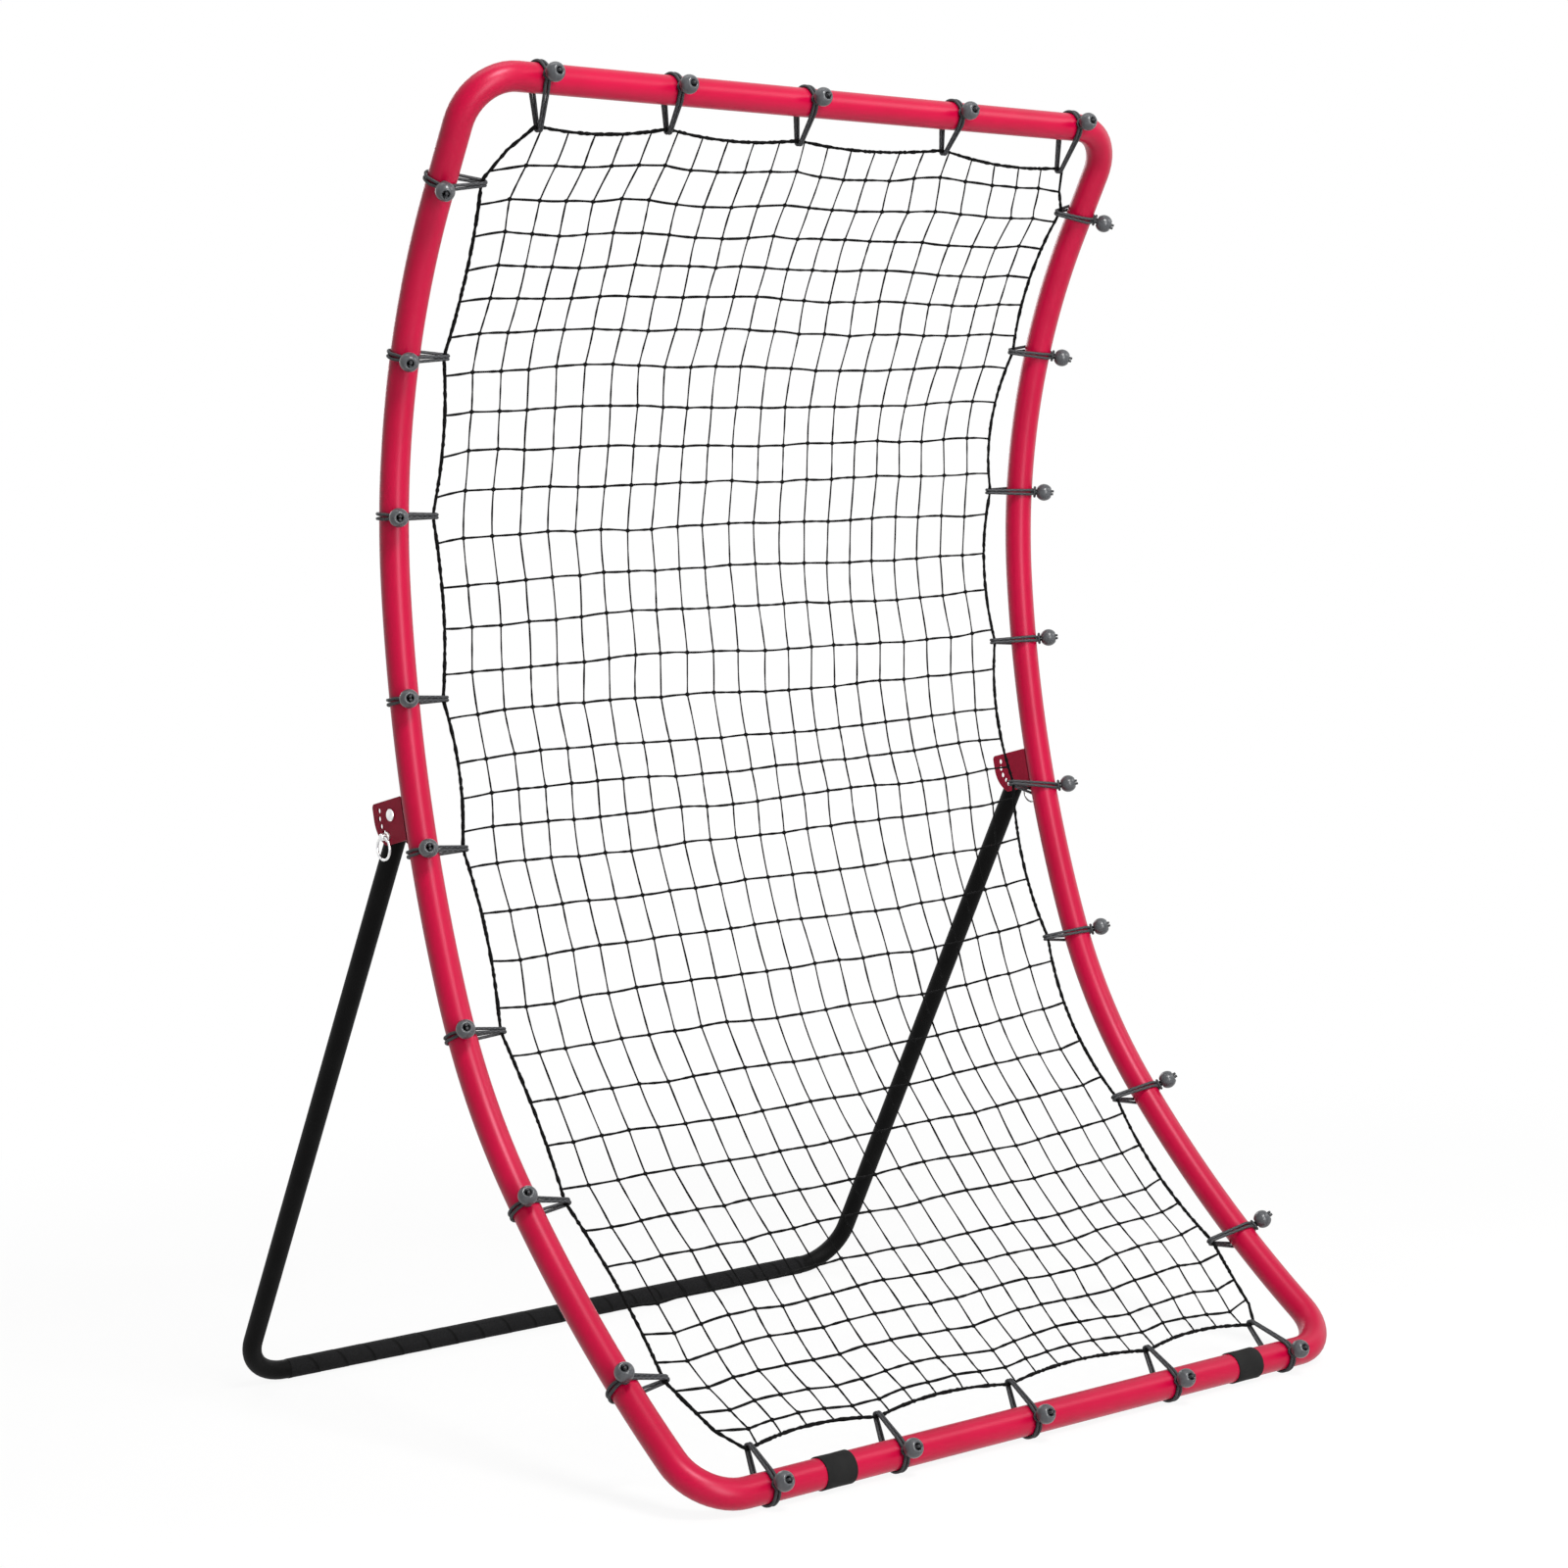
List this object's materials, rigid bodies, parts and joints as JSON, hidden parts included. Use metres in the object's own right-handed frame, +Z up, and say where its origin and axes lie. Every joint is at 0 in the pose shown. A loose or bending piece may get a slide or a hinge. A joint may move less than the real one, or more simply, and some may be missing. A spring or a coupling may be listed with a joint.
{
  "type": "baseball rebounder",
  "caption": "Curved net rebounder: a concave tube frame, a knotted net held by ball bungees, and a folding rear stand set by pull-ring lock pins.",
  "frame": {"origin": "on the floor under the middle of the part's outline", "axes": "+Z up, -Y towards the thrower, +X to the thrower's right"},
  "size_m": [0.8551, 0.8328, 1.2894],
  "materials": {
    "frame_red": "satin powder coat",
    "bracket_red": "satin powder coat, darker",
    "rubber_band": "matt",
    "zinc_steel": "bright zinc plate",
    "stand_black": "matt powder coat",
    "grip_tape": "matt wound tape",
    "net_cord": "knotted cord",
    "bungee_grey": "woven elastic cord with a moulded ball"
  },
  "bodies": {
    "frame": {"frame_bottom_rail": "frame_red", "frame_top_rail": "frame_red", "frame_left_side": "frame_red", "frame_right_side": "frame_red", "left_rail_band": "rubber_band", "right_rail_band": "rubber_band", "left_hinge_bracket": "bracket_red", "right_hinge_bracket": "bracket_red", "left_pivot_bolt": "zinc_steel", "right_pivot_bolt": "zinc_steel", "left_pivot_bush": "zinc_steel", "right_pivot_bush": "zinc_steel", "net_border_cord": "net_cord", "net_mesh_1": "net_cord", "net_mesh_2": "net_cord", "net_mesh_3": "net_cord", "net_mesh_4": "net_cord", "net_mesh_5": "net_cord", "net_mesh_6": "net_cord", "left_bungee_1": "bungee_grey", "left_bungee_2": "bungee_grey", "left_bungee_3": "bungee_grey", "left_bungee_4": "bungee_grey", "left_bungee_5": "bungee_grey", "left_bungee_6": "bungee_grey", "left_bungee_7": "bungee_grey", "left_bungee_8": "bungee_grey", "right_bungee_1": "bungee_grey", "right_bungee_2": "bungee_grey", "right_bungee_3": "bungee_grey", "right_bungee_4": "bungee_grey", "right_bungee_5": "bungee_grey", "right_bungee_6": "bungee_grey", "right_bungee_7": "bungee_grey", "right_bungee_8": "bungee_grey", "bottom_bungee_1": "bungee_grey", "bottom_bungee_2": "bungee_grey", "bottom_bungee_3": "bungee_grey", "bottom_bungee_4": "bungee_grey", "bottom_bungee_5": "bungee_grey", "top_bungee_1": "bungee_grey", "top_bungee_2": "bungee_grey", "top_bungee_3": "bungee_grey", "top_bungee_4": "bungee_grey", "top_bungee_5": "bungee_grey"},
    "stand": {"stand_left_leg": "stand_black", "stand_right_leg": "stand_black", "stand_foot_tube": "stand_black", "foot_grip_tape": "grip_tape"},
    "left_pin": {"left_lock_pin": "zinc_steel"},
    "right_pin": {"right_lock_pin": "zinc_steel"},
    "left_ring": {"left_pin_ring": "zinc_steel"},
    "right_ring": {"right_pin_ring": "zinc_steel"}
  },
  "joints": [
    {"name": "stand_fold", "type": "hinge", "parent": "frame", "child": "stand", "pos_m": [0, 0.03595, 0.60406], "axis": [-1, 0, 0], "range_deg": [0, 40]},
    {"name": "left_pin_pull", "type": "slide", "parent": "frame", "child": "left_pin", "axis": [-1, 0, 0], "range_m": [0, 0.032]},
    {"name": "right_pin_pull", "type": "slide", "parent": "frame", "child": "right_pin", "axis": [1, 0, 0], "range_m": [0, 0.032]},
    {"name": "left_ring_swing", "type": "hinge", "parent": "left_pin", "child": "left_ring", "pos_m": [-0.4212, 0.04341, 0.58337], "axis": [0, 1, 0], "range_deg": [0, 110]},
    {"name": "right_ring_swing", "type": "hinge", "parent": "right_pin", "child": "right_ring", "pos_m": [0.4212, 0.04341, 0.58337], "axis": [0, -1, 0], "range_deg": [0, 110]}
  ]
}
